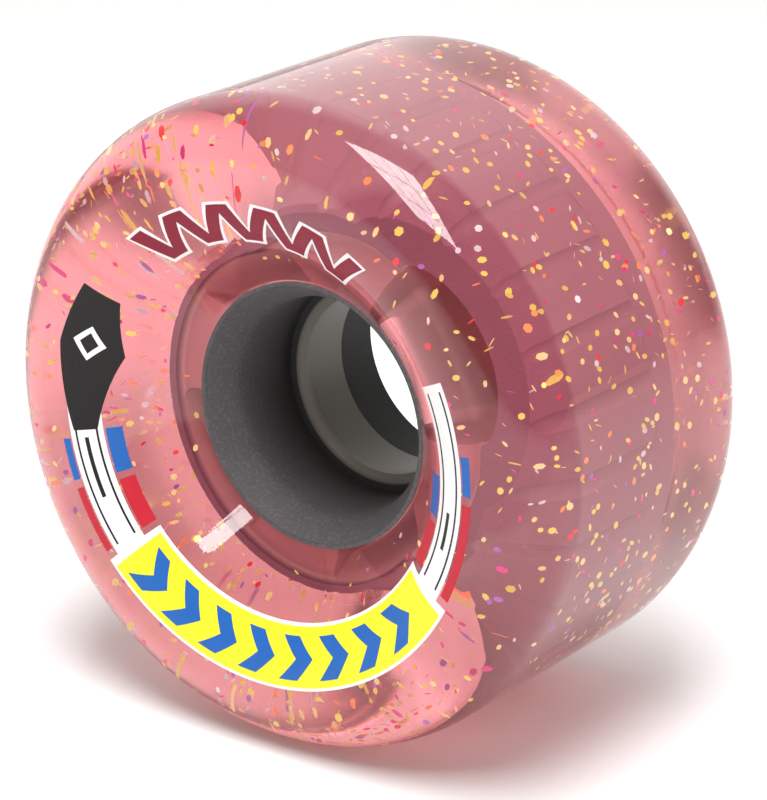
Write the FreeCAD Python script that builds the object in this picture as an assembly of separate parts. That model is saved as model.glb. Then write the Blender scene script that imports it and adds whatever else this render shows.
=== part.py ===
"""Roller skate wheel for a quad skate: a soft tyre cast round a stiff moulded core.

The wheel turns about Y. The origin is the middle of its width, on its axis. The dished side with
the deep recess, which faces away from the skate, is at -Y. All sizes are in millimetres.

Sub-parts: core (one moulding, with two bearing seats, the stop between them, and a fluted drum on
four webs) and tyre (cast round and through the core, so it also fills the core's four pockets).
"""

import FreeCAD
import Part
import math
import os

# Wheel
WHEEL_DIAMETER = 65.0
WHEEL_WIDTH = 37.5

# The bearings that the core takes, and the gap between them
BEARING_DIAMETER = 22.0
BEARING_WIDTH = 7.0
STOP_LENGTH = 6.7

# Core, inside
RECESS_DEPTH = 8.4          # from the front crest of the tyre back to the mouth of the core
MOUTH_DIAMETER = 25.9
MOUTH_FLARE_LENGTH = 4.2    # from the mouth to the front seat
STOP_BORE_DIAMETER = 19.4
STOP_LIP_DIAMETER = 18.7    # small ring round the front of the stop's bore
STOP_LIP_WIDTH = 0.8
STOP_CHAMFER = 0.5
REAR_SEAT_CHAMFER = 0.3

# Core, outside
MOUTH_WALL = 0.45           # thickness of the core's edge at its mouth
BEARING_WALL = 3.3          # thickness of the core round each bearing
DRUM_DIAMETER = 44.0
DRUM_WALL = 1.15
DRUM_FRONT = -6.05          # where the drum starts and ends along the axis
DRUM_REAR = 11.1
DRUM_EDGE_CHAMFER = 0.3
REAR_BAND_WIDTH = 3.4       # plain band behind the flutes
REAR_BAND_STEP = 0.4
FLUTE_COUNT = 24
FLUTE_RADIUS = 1.2
FLUTE_DEPTH = 0.35
POCKET_COUNT = 4
POCKET_ANGLE = 52.0         # width of each pocket, round the axis
POCKET_TURN = 31.0          # where the first pocket's middle is, up from +X
POCKET_CORNER_RADIUS = 1.3
WEB_SETBACK = 1.0           # how far the webs lie inside the drum's two ends

# Tyre
LIP_RADIUS = 6.2            # round from each face to the tread
CREST_FLAT = 0.45           # flat ring between the lip and the dish
DISH_ARC_RADIUS = 11.2      # round from each crest to the cone that falls to the core
REAR_CORE_STAND = 0.35      # how far the core stands out of the tyre at the rear

HALF_WIDTH = WHEEL_WIDTH / 2
TREAD_RADIUS = WHEEL_DIAMETER / 2
MOUTH_Y = -HALF_WIDTH + RECESS_DEPTH
FRONT_SEAT_Y = MOUTH_Y + MOUTH_FLARE_LENGTH
FRONT_STOP_Y = FRONT_SEAT_Y + BEARING_WIDTH
REAR_STOP_Y = FRONT_STOP_Y + STOP_LENGTH
CORE_REAR_Y = REAR_STOP_Y + BEARING_WIDTH
SEAT_RADIUS = BEARING_DIAMETER / 2
MOUTH_RADIUS = MOUTH_DIAMETER / 2
TUBE_RADIUS = SEAT_RADIUS + BEARING_WALL
DRUM_RADIUS = DRUM_DIAMETER / 2
DRUM_INNER_RADIUS = DRUM_RADIUS - DRUM_WALL
LIP_INNER_RADIUS = TREAD_RADIUS - LIP_RADIUS
CREST_RADIUS = LIP_INNER_RADIUS - CREST_FLAT
AXIS = FreeCAD.Vector(0, 1, 0)
CENTRE = FreeCAD.Vector(0, 0, 0)


def at(radius, along):
    """A point of a half section: radius from the axis, and place along it."""
    return FreeCAD.Vector(radius, along, 0)


def turned(edges):
    """The solid that a closed half section makes when it goes round the axis."""
    return Part.Face(Part.Wire(edges)).revolve(CENTRE, AXIS, 360)


def polygon(points):
    """The straight edges of a closed half section."""
    return [Part.LineSegment(a, b).toShape() for a, b in zip(points, points[1:] + points[:1])]


def spun(shape, angle):
    """A copy of a shape, turned about the axis, up from +X for a positive angle."""
    copy = shape.copy()
    copy.rotate(CENTRE, AXIS, -angle)
    return copy


def bearing_tube():
    """The tube through the wheel: mouth, flare, front seat, stop with its lip, rear seat."""
    stop_radius = STOP_BORE_DIAMETER / 2
    lip_radius = STOP_LIP_DIAMETER / 2
    return turned(polygon([
        at(MOUTH_RADIUS, MOUTH_Y),
        at(SEAT_RADIUS, FRONT_SEAT_Y),
        at(SEAT_RADIUS, FRONT_STOP_Y),
        at(lip_radius + STOP_CHAMFER, FRONT_STOP_Y),
        at(lip_radius, FRONT_STOP_Y + STOP_CHAMFER),
        at(lip_radius, FRONT_STOP_Y + STOP_LIP_WIDTH),
        at(stop_radius, FRONT_STOP_Y + STOP_LIP_WIDTH + STOP_CHAMFER),
        at(stop_radius, REAR_STOP_Y),
        at(SEAT_RADIUS, REAR_STOP_Y),
        at(SEAT_RADIUS, CORE_REAR_Y - REAR_SEAT_CHAMFER),
        at(SEAT_RADIUS + REAR_SEAT_CHAMFER, CORE_REAR_Y),
        at(TUBE_RADIUS, CORE_REAR_Y),
        at(TUBE_RADIUS, DRUM_FRONT),
        at(MOUTH_RADIUS + MOUTH_WALL, MOUTH_Y),
    ]))


def drum_blank():
    """The drum and its webs before the pockets: a ring with chamfered ends and a stepped band."""
    band_start = DRUM_REAR - REAR_BAND_WIDTH
    band_radius = DRUM_RADIUS - REAR_BAND_STEP
    inside = TUBE_RADIUS - BEARING_WALL / 2
    return turned(polygon([
        at(inside, DRUM_FRONT + WEB_SETBACK),
        at(DRUM_INNER_RADIUS, DRUM_FRONT + WEB_SETBACK),
        at(DRUM_INNER_RADIUS, DRUM_FRONT),
        at(DRUM_RADIUS - DRUM_EDGE_CHAMFER, DRUM_FRONT),
        at(DRUM_RADIUS, DRUM_FRONT + DRUM_EDGE_CHAMFER),
        at(DRUM_RADIUS, band_start - REAR_BAND_STEP),
        at(band_radius, band_start),
        at(band_radius, DRUM_REAR - DRUM_EDGE_CHAMFER),
        at(band_radius - DRUM_EDGE_CHAMFER, DRUM_REAR),
        at(DRUM_INNER_RADIUS, DRUM_REAR),
        at(DRUM_INNER_RADIUS, DRUM_REAR - WEB_SETBACK),
        at(inside, DRUM_REAR - WEB_SETBACK),
    ]))


def pocket():
    """One pocket: a sector between the tube and the drum's wall, right through, round-cornered."""
    half = math.radians(POCKET_ANGLE / 2)
    start = DRUM_FRONT - WEB_SETBACK

    def polar(radius, angle):
        return FreeCAD.Vector(radius * math.cos(angle), start, radius * math.sin(angle))

    def arc(radius, first, last):
        middle = (first + last) / 2
        return Part.Arc(polar(radius, first), polar(radius, middle), polar(radius, last)).toShape()

    outline = Part.Wire([
        arc(DRUM_INNER_RADIUS, -half, half),
        Part.LineSegment(polar(DRUM_INNER_RADIUS, half), polar(TUBE_RADIUS, half)).toShape(),
        arc(TUBE_RADIUS, half, -half),
        Part.LineSegment(polar(TUBE_RADIUS, -half), polar(DRUM_INNER_RADIUS, -half)).toShape(),
    ])
    length = DRUM_REAR - DRUM_FRONT + 2 * WEB_SETBACK
    prism = Part.Face(outline).extrude(AXIS * length)
    corners = [edge for edge in prism.Edges
               if isinstance(edge.Curve, Part.Line) and abs(edge.Length - length) < 0.01]
    return prism.makeFillet(POCKET_CORNER_RADIUS, corners)


def flute():
    """One flute along the outside of the drum, from its front end to the rear band."""
    length = DRUM_REAR - REAR_BAND_WIDTH - DRUM_FRONT + WEB_SETBACK
    middle = FreeCAD.Vector(DRUM_RADIUS + FLUTE_RADIUS - FLUTE_DEPTH, DRUM_FRONT - WEB_SETBACK, 0)
    return Part.makeCylinder(FLUTE_RADIUS, length, middle, AXIS)


def make_core():
    """The moulded core in one piece."""
    pockets = [spun(pocket(), POCKET_TURN + k * 360 / POCKET_COUNT) for k in range(POCKET_COUNT)]
    pitch = 360 / FLUTE_COUNT
    flutes = [spun(flute(), POCKET_TURN + (k + 0.5) * pitch) for k in range(FLUTE_COUNT)]
    drum = drum_blank().cut(pockets + flutes)
    return drum.fuse(bearing_tube()).removeSplitter()


def dish(edge, face_y, inward):
    """A dished face, from its edge at the core: a cone that runs smoothly into an arc at the crest.

    face_y is where the crest is, and inward is the way from it into the wheel, 1 or -1.
    """
    across = CREST_RADIUS - edge.x
    depth = DISH_ARC_RADIUS - abs(edge.y - face_y)
    slope = math.asin(DISH_ARC_RADIUS / math.hypot(across, depth)) - math.atan2(depth, across)
    centre = at(CREST_RADIUS, face_y + inward * DISH_ARC_RADIUS)

    def on_arc(angle):
        return centre + at(-math.sin(angle), -inward * math.cos(angle)) * DISH_ARC_RADIUS

    return [
        Part.LineSegment(edge, on_arc(slope)).toShape(),
        Part.Arc(on_arc(slope), on_arc(slope / 2), on_arc(0)).toShape(),
        Part.LineSegment(on_arc(0), at(LIP_INNER_RADIUS, face_y)).toShape(),
    ]


def round_lip(face_y, inward):
    """The quarter round between a face at face_y and the tread, and its end on the tread."""
    centre = at(LIP_INNER_RADIUS, face_y + inward * LIP_RADIUS)
    bulge = LIP_RADIUS * math.sqrt(0.5)
    on_tread = at(TREAD_RADIUS, centre.y)
    middle = centre + at(bulge, -inward * bulge)
    return Part.Arc(at(LIP_INNER_RADIUS, face_y), middle, on_tread).toShape(), on_tread


def tyre_blank():
    """The tyre's outside, closed by a wall that runs inside the core."""
    front_edge = at(MOUTH_RADIUS + MOUTH_WALL, MOUTH_Y)
    rear_edge = at(TUBE_RADIUS, CORE_REAR_Y - REAR_CORE_STAND)
    front_lip, front_tread = round_lip(-HALF_WIDTH, 1)
    rear_lip, rear_tread = round_lip(HALF_WIDTH, -1)
    inside = [
        rear_edge,
        at(SEAT_RADIUS + BEARING_WALL / 2, rear_edge.y),
        at(SEAT_RADIUS + BEARING_WALL / 2, FRONT_SEAT_Y),
        at(MOUTH_RADIUS + MOUTH_WALL / 2, MOUTH_Y),
        front_edge,
    ]
    return turned([
        *dish(front_edge, -HALF_WIDTH, 1),
        front_lip,
        Part.LineSegment(front_tread, rear_tread).toShape(),
        rear_lip,
        *reversed(dish(rear_edge, HALF_WIDTH, -1)),
        *[Part.LineSegment(a, b).toShape() for a, b in zip(inside, inside[1:])],
    ])


def make_tyre(core):
    """The cast tyre: its outside, less the core that it was cast round."""
    return tyre_blank().cut(core)


def main():
    os.makedirs("parts", exist_ok=True)
    core = make_core()
    tyre = make_tyre(core)
    for name, shape in (("core", core), ("tyre", tyre)):
        print(name, len(shape.Solids), "solid", shape.isValid(), round(shape.Volume / 1000, 2), "cm3",
              len(shape.Faces), "faces")
        shape.exportStep(f"parts/{name}.step")
    print("shared", round(core.common(tyre).Volume, 3), "mm3")


main()
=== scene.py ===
"""Looks of a roller skate wheel: a clear pink tyre full of glitter, cast round a grey moulded core.

The wheel turns about Y and its dished front face looks towards -Y. Lengths are in metres, and MM turns
millimetres into them. Angles round the wheel run from +X up towards +Z. A half section is drawn as pairs
(radius, along), where along is the place on Y.
"""

import math

import bpy
import numpy as np
from mathutils import Matrix, Vector


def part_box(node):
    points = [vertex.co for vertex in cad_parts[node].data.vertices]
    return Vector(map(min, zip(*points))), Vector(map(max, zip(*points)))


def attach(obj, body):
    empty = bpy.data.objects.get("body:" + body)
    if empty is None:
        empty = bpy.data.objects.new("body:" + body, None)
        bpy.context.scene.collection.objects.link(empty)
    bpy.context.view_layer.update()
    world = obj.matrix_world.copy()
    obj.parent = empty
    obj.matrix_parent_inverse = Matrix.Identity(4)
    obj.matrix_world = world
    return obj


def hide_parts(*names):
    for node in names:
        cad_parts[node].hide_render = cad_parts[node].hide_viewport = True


MM = 0.001

# Tyre, with its solid's outline except for the shallower dish at the rear
LIP_RADIUS = 6.2 * MM
CREST_FLAT = 0.45 * MM
DISH_ARC_RADIUS = 11.2 * MM
MOUTH_RADIUS = 12.95 * MM
MOUTH_WALL = 0.45 * MM
RECESS_DEPTH = 8.4 * MM
BOND_RADIUS = 12.65 * MM      # the tyre's hidden inner wall, inside the core's own wall
CORE_REAR_STAND = 0.35 * MM   # how far the core stands out of the tyre at the rear
FUNNEL_DEPTH = 2.6 * MM       # the 45 degree funnel behind the core's rear seat
TYRE_STEPS = 256
ARC_STEPS = 40
CONE_STEPS = 12
TREAD_STEPS = 60

# Core
SEAT_RADIUS = 11.0 * MM
SEAT_CHAMFER = 0.3 * MM
SEAT_START_Y = -6.15 * MM
FLARE_ROUND = 3.0 * MM
FLARE_STEPS = 24
RING_STEPS = 192
LINING_SKIN = 0.05 * MM
OVERLAP = 0.02 * MM           # how far pieces that meet run into each other
SHARP_EDGE = math.radians(30)
TUBE_RADIUS = 14.3 * MM
DRUM_RADIUS = 22.0 * MM
DRUM_FRONT = -6.05 * MM
DRUM_REAR = 11.1 * MM

# Where the core's colours change, and where its painted light and shade lie: radii, and places along Y
BORE_EDGE = (10.0 * MM, 10.4 * MM)
COAT_EDGE = (14.0 * MM, 14.4 * MM)
DRUM_INSIDE = (20.2 * MM, 20.8 * MM)
DRUM_OUTSIDE = (21.0 * MM, 21.3 * MM)
RIM_PAINTED_SHADE = (DRUM_FRONT + 0.1 * MM, DRUM_FRONT + 1.2 * MM)
PAINTED_LIGHT_BEHIND_WEBS = (4.5 * MM, 7.5 * MM)
SEAT_SHADE_END = 0.4 * MM

# Print on the dish
INK_LAYER = 0.02 * MM
INK_SINK = 0.2                # the underside of a patch, in layers above the face
PATCH_STEP = 1.2              # degrees
PATCH_ROWS = 7

# Fine turning lines round the rear of the tread
TURNED_FROM = 9.0 * MM
TURNED_TO = 13.6 * MM
TURNED_FADE = 0.8 * MM
TURNING_PITCH = 0.42 * MM

# Glitter
GLITTER_SEED = 65
FLAKE_COUNT = 2000
FLAKE_SIZES = (0.35, 0.66, 0.95)   # least, usual and greatest, in millimetres
FLAKE_THICKNESS = 0.03 * MM
FLAKE_GAP = 0.5 * MM
DENSITY_RADII = (TUBE_RADIUS, 24 * MM, 29 * MM)
DENSITY = (0.10, 0.30, 1.0)        # share of the places kept at each of those radii
TRIES_PER_FLAKE = 12

# Soft box and room
LAMP_HEIGHT = 0.7
LAMP_RADIANCE = 14.0
LAMP_WIDTH = 0.44 * LAMP_HEIGHT
LAMP_LENGTH = 0.80 * LAMP_HEIGHT
LAMP_TURN = math.radians(34)
LAMP_PLACE = (0.20 * LAMP_HEIGHT, -0.33 * LAMP_HEIGHT)
LAMP_COLUMNS = 4
LAMP_ROWS = 3
CELL_FILL = (0.93, 0.95)           # share of its cell that a lamp fills, across and along
ROOM_LIGHT = 0.58
ROOM_MIRRORED = 0.25               # the room's strength in reflections, and what the backdrop adds to it
BACKDROP_MIRRORED = 1.05
BACKDROP_EDGE = (0.40, 0.75)       # cosines of the angle from the backdrop's middle
TABLE_HALF = 3.0

# The photograph's view: its camera looks at the core's mouth
PHOTO_WIDTH = 767
PHOTO_HEIGHT = 800
FOCAL_LENGTH_PIXELS = 3481.4
SENSOR = 36.0
VIEW_TURN = math.radians(36.42)
VIEW_TILT = math.radians(20.02)
VIEW_DISTANCE = 334.9 * MM
VIEW_SHIFT_RIGHT = 7.11 * MM
VIEW_SHIFT_UP = 1.60 * MM

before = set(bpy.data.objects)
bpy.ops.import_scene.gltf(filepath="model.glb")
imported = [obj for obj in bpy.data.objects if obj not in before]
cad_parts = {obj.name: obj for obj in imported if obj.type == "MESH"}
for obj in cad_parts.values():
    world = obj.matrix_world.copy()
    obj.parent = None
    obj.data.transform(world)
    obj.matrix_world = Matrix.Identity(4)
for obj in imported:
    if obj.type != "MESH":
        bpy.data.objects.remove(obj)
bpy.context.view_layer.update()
tyre_low, tyre_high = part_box("tyre")
HALF_WIDTH = tyre_high.y
TREAD_RADIUS = tyre_high.z
MOUTH_Y = -HALF_WIDTH + RECESS_DEPTH
LIP_INNER = TREAD_RADIUS - LIP_RADIUS
CREST_START = LIP_INNER - CREST_FLAT
DISH_ARC_Y = -HALF_WIDTH + DISH_ARC_RADIUS
MOUTH_EDGE = MOUTH_RADIUS + MOUTH_WALL
SEAT_END_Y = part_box("core")[1].y
CORE_END_Y = SEAT_END_Y + FUNNEL_DEPTH
REAR_EDGE_Y = CORE_END_Y - CORE_REAR_STAND
REAR_RECESS_DEPTH = HALF_WIDTH - REAR_EDGE_Y


class Value:
    """One output of a node tree. Arithmetic on it adds Math nodes, so shader maths reads as Python."""

    def __init__(self, tree, socket):
        self.tree = tree
        self.socket = socket

    def maths(self, operation, *others):
        return self.tree.add("ShaderNodeMath", {"operation": operation}, [self, *others])

    def __add__(self, other):
        return self.maths("ADD", other)

    def __sub__(self, other):
        return self.maths("SUBTRACT", other)

    def __mul__(self, other):
        return self.maths("MULTIPLY", other)

    def __pow__(self, other):
        return self.maths("POWER", other)

    def __rsub__(self, other):
        return self.tree.add("ShaderNodeMath", {"operation": "SUBTRACT"}, [other, self])

    __radd__ = __add__

    def over(self, low, high):
        """0 below low, 1 above high, and a smooth step between them."""
        settings = {"interpolation_type": "SMOOTHSTEP"}
        return self.tree.add("ShaderNodeMapRange", settings, [self, low, high, 0.0, 1.0])


class Tree:
    """The nodes of a material or of the world."""

    def __init__(self, owner):
        owner.use_nodes = True
        self.owner = owner
        self.nodes = owner.node_tree.nodes
        self.links = owner.node_tree.links
        self.nodes.clear()

    def add(self, kind, settings=None, inputs=(), output=0):
        """A node: its settings first, then the value or link of each input, by place or by name."""
        node = self.nodes.new(kind)
        for name, value in (settings or {}).items():
            setattr(node, name, value)
        pairs = inputs.items() if isinstance(inputs, dict) else enumerate(inputs)
        for place, value in pairs:
            if isinstance(value, Value):
                self.links.new(value.socket, node.inputs[place])
            else:
                node.inputs[place].default_value = value
        return Value(self, node.outputs[output])

    def mix(self, factor, first, second):
        """A colour between two colours."""
        node = self.nodes.new("ShaderNodeMix")
        node.data_type = "RGBA"
        for place, value in ((0, factor), (6, first), (7, second)):
            if isinstance(value, Value):
                self.links.new(value.socket, node.inputs[place])
            elif place == 0:
                node.inputs[place].default_value = value
            else:
                node.inputs[place].default_value = (*value, 1.0)
        return Value(self, node.outputs[2])

    def position(self):
        """The place of a point on the piece, in metres."""
        return self.add("ShaderNodeTexCoord", output=3)

    def split(self, vector):
        """The X, Y and Z of a vector."""
        first = self.add("ShaderNodeSeparateXYZ", inputs=[vector])
        return [Value(self, socket) for socket in first.socket.node.outputs]

    def noise(self, size, detail):
        """Soft noise from 0 to 1, with lumps about as large as size."""
        inputs = {"Vector": self.position(), "Scale": 1.0 / size, "Detail": detail}
        return self.add("ShaderNodeTexNoise", inputs=inputs)

    def bump(self, height, depth):
        """A normal from a height of 0 to 1, where 1 stands depth metres proud."""
        return self.add("ShaderNodeBump", inputs={"Strength": 1.0, "Distance": depth, "Height": height})

    def finish(self, surface, volume=None):
        """Joins the shaders to the output."""
        kind = "ShaderNodeOutputMaterial"
        if isinstance(self.owner, bpy.types.World):
            kind = "ShaderNodeOutputWorld"
        node = self.nodes.new(kind)
        self.links.new(surface.socket, node.inputs["Surface"])
        if volume is not None:
            self.links.new(volume.socket, node.inputs["Volume"])


def new_tree(name):
    return Tree(bpy.data.materials.new(name))


def mesh_piece(name, points, faces, material, smooth=True):
    """A mesh object from an array of points and arrays of faces, with its faces turned outwards.

    Its volume is the sum over the triangles of a . (b x c) / 6, and a negative one turns every face.
    """
    mesh = bpy.data.meshes.new(name)
    points = np.asarray(points, dtype=float).reshape(-1, 3)
    faces = np.asarray(faces)
    corners = points[faces]
    fans = [corners[:, [0, k, k + 1]] for k in range(1, faces.shape[1] - 1)]
    triangles = np.concatenate(fans)
    crossed = np.cross(triangles[:, 1], triangles[:, 2])
    volume = np.einsum("ij,ij->i", triangles[:, 0], crossed).sum()
    if volume < 0:
        faces = faces[:, ::-1]
    mesh.from_pydata(points.tolist(), [], faces.tolist())
    mesh.polygons.foreach_set("use_smooth", np.full(len(faces), smooth))
    mesh.materials.append(material)
    mesh.update()
    piece = bpy.data.objects.new(name, mesh)
    bpy.context.scene.collection.objects.link(piece)
    return piece


def grid_faces(rows, columns, close_rows=False, close_columns=False):
    """The four-sided faces of a grid of points, whose last row or column may join the first."""
    last_row = rows if close_rows else rows - 1
    last_column = columns if close_columns else columns - 1
    row, column = np.meshgrid(np.arange(last_row), np.arange(last_column), indexing="ij")
    below = (row + 1) % rows
    beside = (column + 1) % columns
    corners = [row * columns + column, below * columns + column,
               below * columns + beside, row * columns + beside]
    return np.stack([corner.ravel() for corner in corners], axis=1)


def revolved(outline, steps):
    """A half section (radius, along) carried round the axis: (r cos a, along, r sin a)."""
    angle = np.linspace(0, 2 * math.pi, steps, endpoint=False)
    radius, along = outline[:, :1], outline[:, 1:]
    return np.stack([radius * np.cos(angle), np.broadcast_to(along, (len(outline), steps)),
                     radius * np.sin(angle)], axis=2)


def arc(centre, radius, first, last, count):
    """Points (radius, along) of an arc, at angles from the outward direction towards +Y."""
    angle = np.linspace(first, last, count)[:, None]
    return np.array(centre) + radius * np.hstack([np.cos(angle), np.sin(angle)])


def straight(start, end, count):
    """Evenly spaced points from start to end."""
    share = np.linspace(0, 1, count)[:, None]
    return np.array(start) * (1 - share) + np.array(end) * share


def dish_slope(edge_radius, recess):
    """The angle of a dish's cone: the line from its edge at the core that just touches the dish's arc."""
    across = CREST_START - edge_radius
    depth = DISH_ARC_RADIUS - recess
    return math.asin(DISH_ARC_RADIUS / math.hypot(across, depth)) - math.atan2(depth, across)


def face_outline(edge_radius, recess):
    """Half section of one face, from its edge at the core over dish, crest and lip to the tread.

    It is drawn for the front, which looks towards -Y. The rear one is the same with Y turned round.
    """
    slope = dish_slope(edge_radius, recess)
    down = -math.pi / 2
    dish = arc((CREST_START, DISH_ARC_Y), DISH_ARC_RADIUS, down - slope, down, ARC_STEPS)
    cone = straight((edge_radius, recess - HALF_WIDTH), dish[0], CONE_STEPS)
    lip = arc((LIP_INNER, LIP_RADIUS - HALF_WIDTH), LIP_RADIUS, down, 0, ARC_STEPS)
    return np.vstack([cone, dish[1:], lip])


def tyre_outline():
    """The whole closed half section of the tyre."""
    front = face_outline(MOUTH_EDGE, RECESS_DEPTH)
    rear = (face_outline(TUBE_RADIUS, REAR_RECESS_DEPTH) * (1, -1))[::-1]
    tread = straight(front[-1], rear[0], TREAD_STEPS)
    inner_mouth = (MOUTH_RADIUS + MOUTH_WALL / 2, MOUTH_Y + OVERLAP)
    inner = np.array([(BOND_RADIUS, SEAT_END_Y), (BOND_RADIUS, MOUTH_Y / 2), inner_mouth])
    return np.vstack([front, tread[1:-1], rear, inner])


def urethane():
    """Clear urethane, tinted pink. Its slight haze blurs what shows only by way of a wall's inner side.

    The rear of the tread carries fine turning lines: a wave along Y under a window.
    """
    tree = new_tree("urethane")
    along = tree.split(tree.position())[1]
    begun = along.over(TURNED_FROM, TURNED_FROM + TURNED_FADE)
    ended = along.over(TURNED_TO, TURNED_TO + TURNED_FADE)
    turned_part = begun * (1 - ended)
    lines = (along * (2 * math.pi / TURNING_PITCH)).maths("SINE") * 0.5 + 0.5
    wave = tree.noise(7 * MM, 1.0) * 0.7 + lines * turned_part * 0.3
    inner_side = tree.add("ShaderNodeNewGeometry", output="Backfacing")
    surface = tree.add("ShaderNodeBsdfPrincipled", inputs={
        "Base Color": (0.97, 0.52, 0.545, 1.0), "Roughness": 0.02 + inner_side * 0.24, "IOR": 1.5,
        "Transmission Weight": 1.0, "Normal": tree.bump(wave, 0.012 * MM)})
    volume = tree.add("ShaderNodeVolumeAbsorption", inputs={
        "Color": (0.97, 0.34, 0.41, 1.0), "Density": 17.0})
    tree.finish(surface, volume)
    return tree.owner


def make_tyre():
    """The clear casting, in place of the plain solid of the tyre."""
    outline = tyre_outline()
    faces = grid_faces(len(outline), TYRE_STEPS, close_rows=True, close_columns=True)
    piece = mesh_piece("tyre_casting", revolved(outline, TYRE_STEPS), faces, urethane())
    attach(piece, "root")
    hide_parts("tyre")


def moulded_grey():
    """Grey plastic with a fine grain, and the pale mauve bonding coat on what the tyre grips.

    The coat starts at the tube's outside. Its tones are painted light and shade on one coat: shaded darker on
    the tube and webs, lit paler on the drum's inner wall, palest behind the webs where light comes in from
    the rear, and darkest on the drum's front rim, a painted shade. The stop's bore is smooth and a little
    olive, and painted shade darkens the grey from the mouth towards the stop, and all the grey behind it.
    """
    tree = new_tree("moulded_grey")
    across, along, upwards = tree.split(tree.position())
    radius = (across * across + upwards * upwards) ** 0.5
    coated = radius.over(*COAT_EDGE)
    drum = radius.over(*DRUM_INSIDE)
    drum_outside = radius.over(*DRUM_OUTSIDE)
    # painted light: the coat is made paler behind the webs, for light that comes in from the rear
    behind = along.over(*PAINTED_LIGHT_BEHIND_WEBS)
    # painted shade on the drum's front rim
    painted_rim_shade = 1 - along.over(*RIM_PAINTED_SHADE)
    bore = 1 - radius.over(*BORE_EDGE)
    grain = tree.noise(0.16 * MM, 3.0)
    cloud = tree.noise(2.5 * MM, 3.0)
    speck = tree.noise(0.3 * MM, 2.0).over(0.45, 0.75)
    # painted shade in the bore: none at the mouth, full at the stop and on all the grey behind it
    depth = along.over(MOUTH_Y, SEAT_SHADE_END) * (1 - bore)
    grey = tree.mix(cloud, (0.082, 0.082, 0.088), (0.112, 0.110, 0.116))
    grey = tree.mix(speck * 0.4, grey, (0.20, 0.20, 0.205))
    # painted shade darkens the grey towards the stop
    grey = tree.mix(depth * 0.85, grey, (0.028, 0.028, 0.026))
    grey = tree.mix(bore, grey, (0.22, 0.205, 0.18))
    # painted light and shade on one mauve coat: shaded darker on the tube and webs in the pockets, lit paler
    # on the drum's inner wall
    coat = tree.mix(drum, (0.68, 0.43, 0.46), (0.94, 0.84, 0.84))
    coat = tree.mix(drum_outside, coat, (0.46, 0.375, 0.435))
    # painted light behind the webs
    coat = tree.mix(behind * (1 - drum_outside), coat, (0.95, 0.93, 0.93))
    # painted shade darkens the coat on the drum's front rim
    coat = tree.mix(painted_rim_shade * drum, coat, (0.36, 0.215, 0.30))
    colour = tree.mix(coated, grey, coat)
    height = grain * (1 - bore * 0.85)
    surface = tree.add("ShaderNodeBsdfPrincipled", inputs={
        "Base Color": colour, "Roughness": 0.62 - bore * 0.22, "Specular IOR Level": 0.3,
        "Normal": tree.bump(height, 0.05 * MM)})
    tree.finish(surface)
    return tree.owner


def ring_piece(name, outline, material):
    """A closed half section turned into a ring."""
    faces = grid_faces(len(outline), RING_STEPS, close_rows=True, close_columns=True)
    piece = mesh_piece(name, revolved(outline, RING_STEPS), faces, material)
    piece.data.set_sharp_from_angle(angle=SHARP_EDGE)
    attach(piece, "root")


def finish_core():
    """The core's finish, its rear end with the funnel, and the round lining of its mouth."""
    grey = moulded_grey()
    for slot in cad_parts["core"].material_slots:
        slot.material = grey
    edge = SEAT_RADIUS + SEAT_CHAMFER
    start = SEAT_END_Y - OVERLAP
    rear_end = [(edge, start), (edge + FUNNEL_DEPTH, CORE_END_Y),
                (TUBE_RADIUS, CORE_END_Y), (TUBE_RADIUS, start)]
    ring_piece("core_rear_end", np.array(rear_end), grey)
    ring_piece("core_mouth_lining", mouth_lining(), grey)


def mouth_lining():
    """Half section of the lining: a cone from the mouth, an arc into the seat, and the straight cone behind.

    The arc's centre is (seat radius + R, start of the seat), and the cone from the mouth just touches it.
    """
    centre = (SEAT_RADIUS + FLARE_ROUND, SEAT_START_Y)
    out, deep = centre[0] - MOUTH_RADIUS, centre[1] - MOUTH_Y
    slope = math.asin(FLARE_ROUND / math.hypot(out, deep)) - math.atan2(out, deep)
    curve = arc(centre, FLARE_ROUND, math.pi + slope, math.pi, FLARE_STEPS)
    back = np.array([(SEAT_RADIUS + LINING_SKIN, SEAT_START_Y), (MOUTH_RADIUS + LINING_SKIN, MOUTH_Y)])
    return np.vstack([[(MOUTH_RADIUS, MOUTH_Y)], curve, back])


def room_behind_face(radius, along, edge_radius, recess):
    """How deep a point of the half section lies behind a face: negative in front of it."""
    slope = dish_slope(edge_radius, recess)
    cone = (radius - edge_radius) * math.sin(slope) + (along + HALF_WIDTH - recess) * math.cos(slope)
    dish = DISH_ARC_RADIUS - np.hypot(radius - CREST_START, along - DISH_ARC_Y)
    lip = LIP_RADIUS - np.hypot(radius - LIP_INNER, along - (LIP_RADIUS - HALF_WIDTH))
    cone_end = CREST_START - DISH_ARC_RADIUS * math.sin(slope)
    room = np.where(radius < cone_end, cone, dish)
    room = np.where(radius > CREST_START, along + HALF_WIDTH, room)
    at_lip = (radius > LIP_INNER) & (along < LIP_RADIUS - HALF_WIDTH)
    deep = along > DISH_ARC_Y
    return np.where(deep, along + HALF_WIDTH, np.where(at_lip, lip, room))


def room_for_glitter(radius, along):
    """How far a point of the half section is from the nearest surface: negative outside the urethane."""
    front = room_behind_face(radius, along, MOUTH_EDGE, RECESS_DEPTH)
    rear = room_behind_face(radius, -along, TUBE_RADIUS, REAR_RECESS_DEPTH)
    drum = np.maximum.reduce([radius - DRUM_RADIUS, DRUM_FRONT - along, along - DRUM_REAR])
    return np.minimum.reduce([TREAD_RADIUS - radius, front, rear, radius - TUBE_RADIUS, drum])


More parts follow.
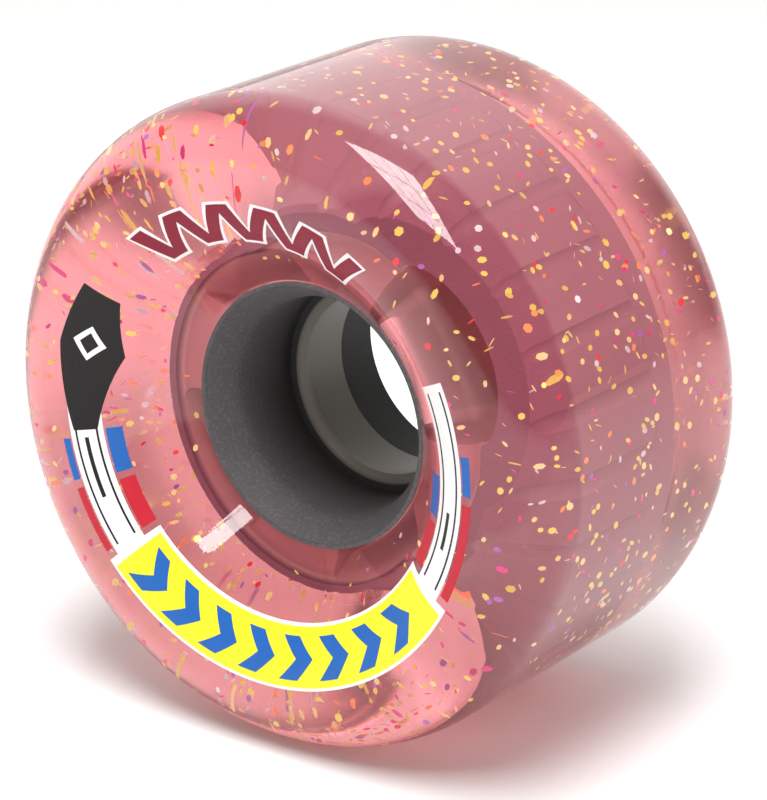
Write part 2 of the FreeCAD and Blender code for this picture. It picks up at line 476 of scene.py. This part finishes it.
def glitter_places(random, count):
    """Random places in the urethane, denser towards the tread, and kept clear of every surface."""
    tries = count * TRIES_PER_FLAKE
    radius = np.sqrt(random.uniform(TUBE_RADIUS ** 2, TREAD_RADIUS ** 2, tries))
    along = random.uniform(-HALF_WIDTH, HALF_WIDTH, tries)
    share = np.interp(radius, DENSITY_RADII, DENSITY)
    kept = (room_for_glitter(radius, along) > FLAKE_GAP) & (random.uniform(size=tries) < share)
    radius, along = radius[kept][:count], along[kept][:count]
    angle = random.uniform(0, 2 * math.pi, len(radius))
    return np.stack([radius * np.cos(angle), along, radius * np.sin(angle)], axis=1)


def flakes(random, places, sizes):
    """Thin six-sided plates, each turned its own way.

    A plate's corners are place + size/2 (u cos a + v sin a) +- w thickness/2, with u, v and w at right
    angles to each other.
    """
    count = len(places)
    w = random.normal(size=(count, 3))
    w /= np.linalg.norm(w, axis=1, keepdims=True)
    u = np.cross(w, random.normal(size=(count, 3)))
    u /= np.linalg.norm(u, axis=1, keepdims=True)
    v = np.cross(w, u)
    angle = np.arange(6) * math.pi / 3
    ring = (u[:, None] * np.cos(angle)[None, :, None] + v[:, None] * np.sin(angle)[None, :, None])
    ring = places[:, None] + ring * sizes[:, None, None] / 2
    step = w[:, None] * FLAKE_THICKNESS / 2
    points = np.concatenate([ring - step, ring + step], axis=1)
    corner = np.arange(6)
    after = (corner + 1) % 6
    sides = np.stack([corner, after, after + 6, corner + 6], axis=1)
    caps = np.array([[3, 2, 1, 0], [5, 4, 3, 0], [6, 7, 8, 9], [6, 9, 10, 11]])
    one = np.vstack([sides, caps])
    faces = one[None] + (np.arange(count) * points.shape[1])[:, None, None]
    return points.reshape(-1, 3), faces.reshape(-1, 4)


def flake_foil(name, colour):
    """Coloured foil, part mirror and part paint. Its faint glow stands in for glints."""
    tree = new_tree(name)
    surface = tree.add("ShaderNodeBsdfPrincipled", inputs={
        "Base Color": (*colour, 1.0), "Roughness": 0.35, "Metallic": 0.15,
        "Emission Color": (*colour, 1.0), "Emission Strength": 0.42})
    tree.finish(surface)
    return tree.owner


FOILS = {
    "gold": ((0.80, 0.92, 0.20), 0.34),
    "yellow": ((0.85, 1.0, 0.42), 0.24),
    "orange": ((1.0, 0.50, 0.16), 0.10),
    "red": ((0.85, 0.06, 0.08), 0.05),
    "magenta": ((0.75, 0.08, 0.40), 0.09),
    "purple": ((0.40, 0.20, 0.66), 0.07),
    "silver": ((0.70, 0.95, 0.98), 0.11),
}


def make_glitter():
    """One piece for each colour of foil. The colours' shares of the flakes are as in FOILS."""
    random = np.random.default_rng(GLITTER_SEED)
    places = glitter_places(random, FLAKE_COUNT)
    shares = np.array([share for colour, share in FOILS.values()])
    edges = np.round(np.cumsum(shares) / shares.sum() * len(places)).astype(int)
    starts = np.concatenate([[0], edges[:-1]])
    for (name, (colour, share)), start, end in zip(FOILS.items(), starts, edges):
        sizes = random.triangular(*FLAKE_SIZES, end - start) * MM
        points, faces = flakes(random, places[start:end], sizes)
        piece = mesh_piece("glitter_" + name, points, faces, flake_foil("foil_" + name, colour), smooth=False)
        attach(piece, "root")


def ink(name, colour):
    """Screen ink: even and slightly glossy, with a faint mottle and a fine skin."""
    tree = new_tree(name)
    mottle = tree.noise(1.1 * MM, 3.0)
    darker = tuple(0.88 * channel for channel in colour)
    surface = tree.add("ShaderNodeBsdfPrincipled", inputs={
        "Base Color": tree.mix(mottle, darker, colour), "Roughness": 0.30 + mottle * 0.12,
        "Specular IOR Level": 0.25, "Normal": tree.bump(tree.noise(0.25 * MM, 2.0), 0.004 * MM)})
    tree.finish(surface)
    return tree.owner


def on_dish(radius):
    """The place along the axis of the front face at a radius, and its outward normal in the half section."""
    slope = dish_slope(MOUTH_EDGE, RECESS_DEPTH)
    cone_end = CREST_START - DISH_ARC_RADIUS * math.sin(slope)
    cone = MOUTH_Y - (radius - MOUTH_EDGE) * math.tan(slope)
    arc_lean = np.arcsin(np.clip((CREST_START - radius) / DISH_ARC_RADIUS, 0, 1))
    lean = np.where(radius < cone_end, slope, arc_lean)
    along = np.where(radius < cone_end, cone, DISH_ARC_Y - DISH_ARC_RADIUS * np.cos(lean))
    return along, -np.sin(lean), -np.cos(lean)


def ink_patch(corners, layer):
    """A four-cornered patch of ink on the dish, as a thin closed shell.

    The corners are (angle in degrees, radius in mm). Between them, angle and radius are blended evenly:
    (1-u)(1-v) a + u(1-v) b + uv c + (1-u)v d. Its top lies layer ink layers above the face.
    """
    first, second, third, fourth = np.array(corners, dtype=float)
    span = max(abs(first - second)[0], abs(fourth - third)[0])
    wide, high = max(2, int(span / PATCH_STEP) + 2), PATCH_ROWS
    u = np.linspace(0, 1, wide)[:, None, None]
    v = np.linspace(0, 1, high)[None, :, None]
    polar = (1 - u) * (1 - v) * first + u * (1 - v) * second + u * v * third + (1 - u) * v * fourth
    angle, radius = np.radians(polar[..., 0]), polar[..., 1] * MM
    along, lean_out, lean_along = on_dish(radius)

    def sheet(lift):
        out = radius + lean_out * lift
        return np.stack([out * np.cos(angle), along + lean_along * lift, out * np.sin(angle)], axis=2)

    top, bottom = sheet(INK_LAYER * layer), sheet(INK_LAYER * INK_SINK)
    points = np.concatenate([top.reshape(-1, 3), bottom.reshape(-1, 3)])
    size = wide * high
    faces = grid_faces(wide, high)
    index = np.arange(size).reshape(wide, high)
    rim = np.concatenate([index[:, 0], index[-1, 1:], index[-2::-1, -1], index[0, -2:0:-1]])
    after = np.roll(rim, -1)
    sides = np.stack([after, rim, rim + size, after + size], axis=1)
    return points, np.vstack([faces, faces[:, ::-1] + size, sides])


def band(start, end, inner, outer):
    """The corners of a patch that runs round the face."""
    return [(start, inner), (end, inner), (end, outer), (start, outer)]


def slanted(middle, width, inner, outer, lean):
    """The corners of a short bar across the band, leaning round the face by lean degrees."""
    return [(middle - width / 2, inner), (middle + width / 2, inner),
            (middle + width / 2 + lean, outer), (middle - width / 2 + lean, outer)]


def diamond(middle, width, inner, outer):
    """The corners of a diamond across the band."""
    centre = (inner + outer) / 2
    return [(middle - width / 2, centre), (middle, inner), (middle + width / 2, centre), (middle, outer)]


def chevron(middle, width, inner, outer, point):
    """The corners of the two bars of a chevron that points round the face."""
    centre = (inner + outer) / 2
    tip, tip_end, end = middle + point, middle + width + point, middle + width
    return [[(middle, inner), (end, inner), (tip_end, centre), (tip, centre)],
            [(tip, centre), (tip_end, centre), (end, outer), (middle, outer)]]


def printed_design():
    """Every patch of the print, by colour: lists of (corners, layer).

    A yellow banner with blue chevrons, striped tails with red and blue blocks at both of its ends, a black
    shield on the left and a dark red zigzag at the top.
    """
    white = [(band(-138, -28, 18.9, 25.0), 1), (band(-192, -138, 20.5, 23.8), 1),
             (band(-28, 26, 20.5, 23.6), 1)]
    yellow = [(band(-136, -30, 19.2, 24.7), 2)]
    blue = []
    for k in range(8):
        blue += [(bar, 3) for bar in chevron(-133 + 12.2 * k, 5.4, 20.0, 24.0, 5.0)]
    blue += [(band(-170, -157, 18.9, 20.3), 1), (band(-168, -158, 24.0, 24.8), 1),
             (band(-10, 2, 18.9, 20.3), 1), (band(0, 9, 23.8, 24.8), 1)]
    red = [(band(-155, -140, 18.9, 20.3), 1), (band(-156, -140, 24.0, 24.8), 1),
           (band(-26, -12, 18.9, 20.3), 1), (band(-26, -2, 23.8, 24.8), 1)]
    left_stripes = [band(-190, -140, 21.0, 21.2), band(-190, -140, 23.1, 23.3), band(-168, -152, 22.0, 22.4)]
    right_stripes = [band(-26, 24, 21.0, 21.2), band(-26, 24, 22.9, 23.1), band(-16, -6, 21.8, 22.2)]
    shield = [[(151, 20.2), (168, 18.6), (168, 24.8), (151, 24.0)],
              [(168, 18.6), (190, 21.0), (190, 23.4), (168, 24.8)]]
    black = [(patch, 2) for patch in left_stripes + right_stripes + shield]
    white += [(diamond(166, 10, 20.2, 23.4), 3)]
    black += [(diamond(166, 6, 20.9, 22.7), 4)]
    dark_red = []
    for k in range(10):
        lean = 5.4 * (-1) ** k
        start = 127 - 7.2 * k - lean / 2
        white.append((slanted(start, 6.0, 18.8, 23.2, lean), 1))
        dark_red.append((slanted(start, 4.3, 19.1, 22.9, lean), 2))
    return {"white": white, "yellow": yellow, "red": red, "blue": blue, "black": black, "dark_red": dark_red}


INKS = {
    "white": (0.93, 0.91, 0.92),
    "yellow": (0.95, 0.86, 0.03),
    "red": (0.55, 0.02, 0.04),
    "blue": (0.02, 0.13, 0.47),
    "black": (0.012, 0.010, 0.010),
    "dark_red": (0.26, 0.008, 0.03),
}


def make_print():
    """One piece for each ink of the printed design."""
    for name, patches in printed_design().items():
        points, faces, total = [], [], 0
        for corners, layer in patches:
            patch_points, patch_faces = ink_patch(corners, layer)
            points.append(patch_points)
            faces.append(patch_faces + total)
            total += len(patch_points)
        skin = ink("ink_" + name, INKS[name])
        piece = mesh_piece("print_" + name, np.concatenate(points), np.concatenate(faces), skin, smooth=False)
        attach(piece, "root")


def make_camera():
    """The photograph's camera, at its place round the wheel and its distance from the core's mouth."""
    back = Vector((math.sin(VIEW_TURN) * math.cos(VIEW_TILT), -math.cos(VIEW_TURN) * math.cos(VIEW_TILT),
                   math.sin(VIEW_TILT)))
    right = Vector((math.cos(VIEW_TURN), math.sin(VIEW_TURN), 0))
    up = back.cross(right)
    place = Vector((0, MOUTH_Y, 0)) + back * VIEW_DISTANCE + right * VIEW_SHIFT_RIGHT + up * VIEW_SHIFT_UP
    data = bpy.data.cameras.new("camera")
    data.sensor_width = SENSOR
    data.lens = SENSOR * FOCAL_LENGTH_PIXELS / max(PHOTO_WIDTH, PHOTO_HEIGHT)
    data.clip_start = 0.01
    camera = bpy.data.objects.new("camera", data)
    turn = Matrix((right, up, back)).transposed().to_4x4()
    camera.matrix_world = Matrix.Translation(place) @ turn
    bpy.context.scene.collection.objects.link(camera)
    bpy.context.scene.camera = camera


def make_floor():
    """A white table."""
    tree = new_tree("white_table")
    surface = tree.add("ShaderNodeBsdfPrincipled", inputs={
        "Base Color": (0.92, 0.92, 0.92, 1.0), "Roughness": 0.7})
    tree.finish(surface)
    corners = [(-1, -1), (1, -1), (1, 1), (-1, 1)]
    points = [(x * TABLE_HALF, y * TABLE_HALF, -TREAD_RADIUS) for x, y in corners]
    floor = mesh_piece("table", points, [[0, 1, 2, 3]], tree.owner, smooth=False)


def make_soft_box():
    """An overhead soft box in front of the wheel, made of cells in a grid with thin bars between them."""
    turn = Matrix.Rotation(LAMP_TURN, 4, "Z")
    middle = Vector((*LAMP_PLACE, LAMP_HEIGHT - TREAD_RADIUS))
    for row in range(LAMP_ROWS):
        for column in range(LAMP_COLUMNS):
            data = bpy.data.lights.new("soft_box_cell", "AREA")
            data.shape = "RECTANGLE"
            data.size = LAMP_WIDTH / LAMP_COLUMNS * CELL_FILL[0]
            data.size_y = LAMP_LENGTH / LAMP_ROWS * CELL_FILL[1]
            data.energy = LAMP_RADIANCE * math.pi * data.size * data.size_y
            across = ((column + 0.5) / LAMP_COLUMNS - 0.5) * LAMP_WIDTH
            along = ((row + 0.5) / LAMP_ROWS - 0.5) * LAMP_LENGTH
            lamp = bpy.data.objects.new("soft_box_cell", data)
            lamp.matrix_world = Matrix.Translation(middle) @ turn @ Matrix.Translation((across, along, 0))
            bpy.context.scene.collection.objects.link(lamp)


def make_room():
    """A pale room: white to the eye and through the wheel, and dim in reflections except at the backdrop.

    The backdrop is the part of the room behind the wheel, round the way that the photograph looks. The
    strength is room + seen (1 - room) + mirrored (in mirror - room).
    """
    world = bpy.data.worlds.new("room")
    bpy.context.scene.world = world
    tree = Tree(world)
    path = tree.add("ShaderNodeLightPath").socket.node.outputs
    seen = Value(tree, path["Is Camera Ray"]).maths("MAXIMUM", Value(tree, path["Is Transmission Ray"]))
    mirrored = Value(tree, path["Is Glossy Ray"]) * (1 - seen)
    way = tree.add("ShaderNodeTexCoord", output=0)
    ahead = (-math.sin(VIEW_TURN), math.cos(VIEW_TURN), 0.0)
    facing = tree.add("ShaderNodeVectorMath", {"operation": "DOT_PRODUCT"}, [way, ahead], output=1)
    in_mirror = facing.over(*BACKDROP_EDGE) * BACKDROP_MIRRORED + ROOM_MIRRORED
    strength = ROOM_LIGHT + seen * (1 - ROOM_LIGHT) + mirrored * (in_mirror - ROOM_LIGHT)
    sky = tree.add("ShaderNodeBackground", inputs={"Color": (1.0, 0.985, 0.96, 1), "Strength": strength})
    tree.finish(sky)


make_camera()
make_tyre()
finish_core()
make_glitter()
make_print()
make_floor()
make_soft_box()
make_room()
bpy.context.scene.view_settings.view_transform = "Standard"
